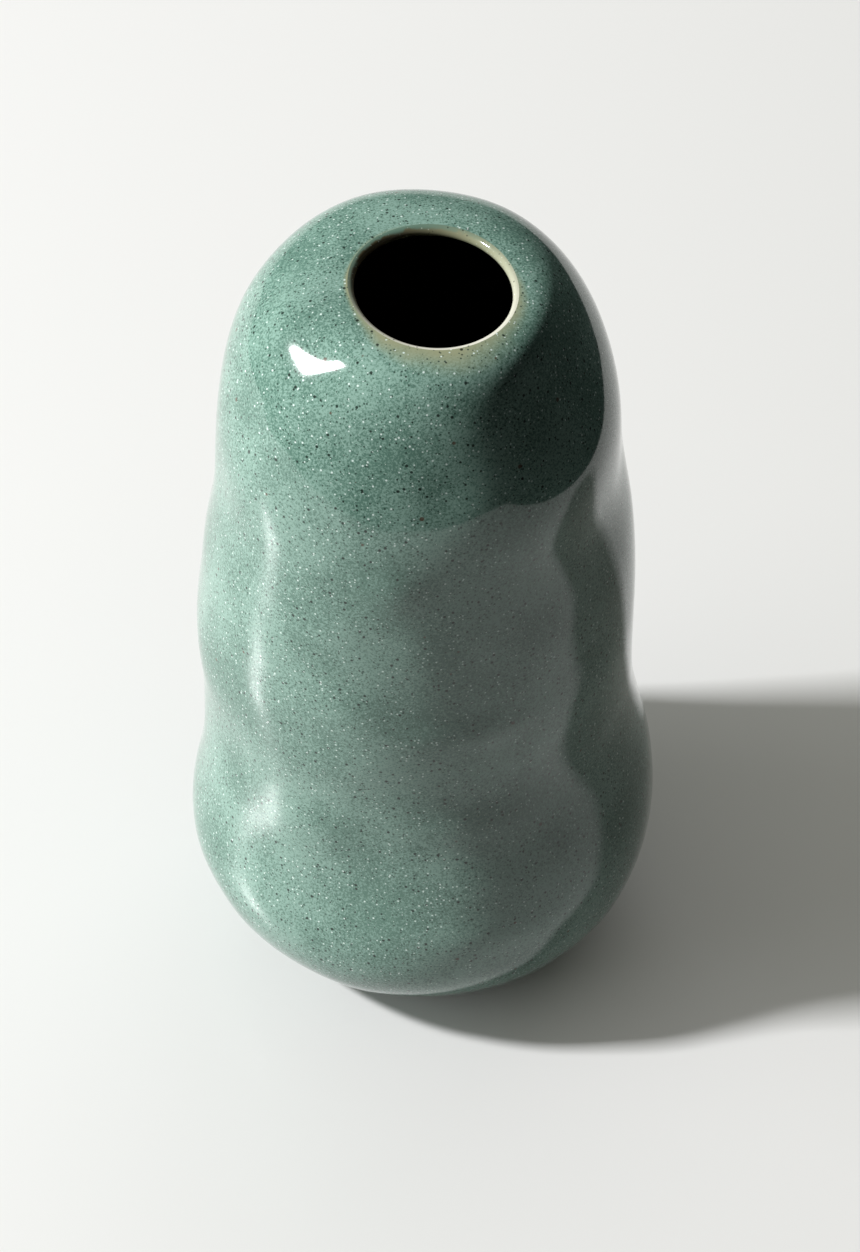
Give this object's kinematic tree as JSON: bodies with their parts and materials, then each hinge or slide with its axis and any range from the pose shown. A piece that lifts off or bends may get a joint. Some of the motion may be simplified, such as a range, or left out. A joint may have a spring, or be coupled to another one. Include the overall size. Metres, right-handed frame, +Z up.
{
  "type": "pillow vase",
  "caption": "Hollow stoneware flower vase with a soft, pillowed wall that narrows to a domed shoulder and a small off-centre round mouth, coated in speckled green glaze.",
  "frame": {"origin": "centre of the foot, on the surface that the vase stands on", "axes": "+Z up out of the mouth, -Y towards the pictured side, +X to the right of the picture"},
  "size_m": [0.1135, 0.1143, 0.205],
  "materials": {
    "bare_clay": "bare fired stoneware, matt",
    "green_glaze": "glossy, with fine pale and dark specks",
    "liner_glaze": "glossy, dark olive"
  },
  "bodies": {
    "root": {"foot_ring": "bare_clay", "floor_slab": "bare_clay", "toe_course": "bare_clay", "belly_course": "bare_clay", "waist_course": "bare_clay", "shoulder_course": "bare_clay", "crown_course": "bare_clay", "lip_coil": "bare_clay", "outer_glaze": "green_glaze", "liner_glaze": "liner_glaze"}
  },
  "joints": []
}
